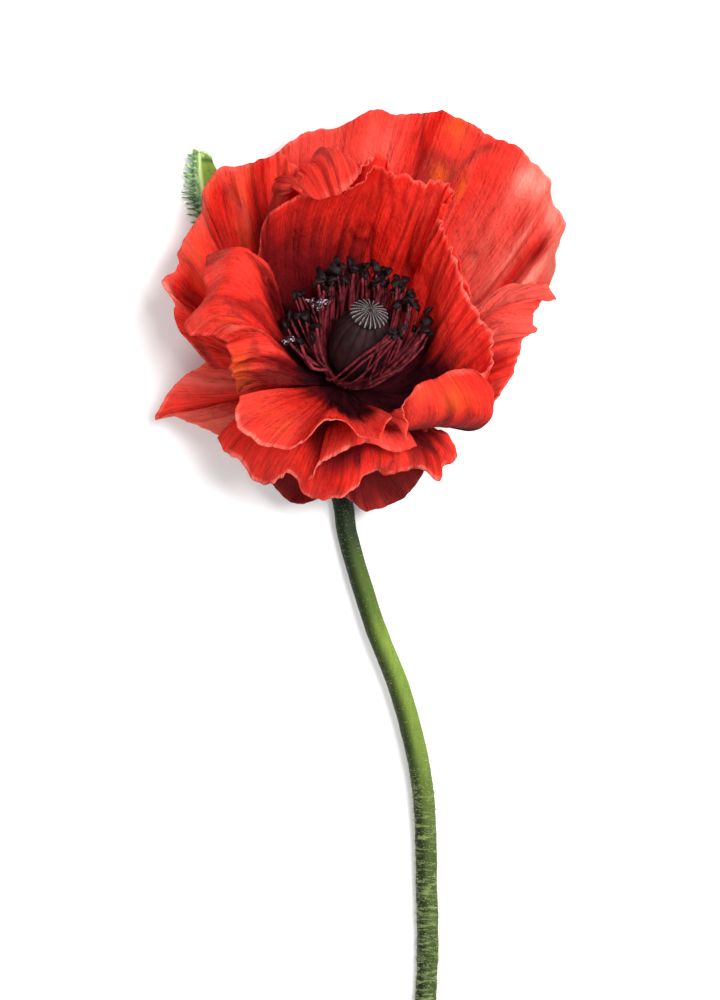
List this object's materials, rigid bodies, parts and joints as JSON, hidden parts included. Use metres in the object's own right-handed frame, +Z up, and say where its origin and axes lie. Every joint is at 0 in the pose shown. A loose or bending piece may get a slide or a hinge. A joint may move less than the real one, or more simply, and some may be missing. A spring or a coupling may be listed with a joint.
{
  "type": "oriental poppy flower",
  "caption": "A cut oriental poppy lying on a surface: one open bloom with crumpled petals, dark stamens and a ribbed capsule, on a bent bare stem.",
  "frame": {"origin": "on the surface the flower lies on, under the middle of its outline", "axes": "+Y along the stem from its cut end towards the bloom, +Z up from the surface, +X to the right seen from above"},
  "size_m": [0.137, 0.3112, 0.069],
  "materials": {
    "petal": "thin crumpled petal, satin",
    "pistil": "dull velvety",
    "stamens": "dull",
    "bract": "fuzzy leaf",
    "stem": "satin, with short hairs"
  },
  "bodies": {
    "root": {"petal_back_outer": "petal", "petal_bottom_outer": "petal", "petal_pointed": "petal", "petal_left_outer": "petal", "petal_right_outer": "petal", "petal_front_outer": "petal", "petal_front_middle": "petal", "petal_back_inner": "petal", "petal_right_inner": "petal", "petal_front_inner": "petal", "petal_left_inner": "petal", "pistil": "pistil", "stamens": "stamens", "bract": "bract", "stem": "stem"}
  },
  "joints": []
}
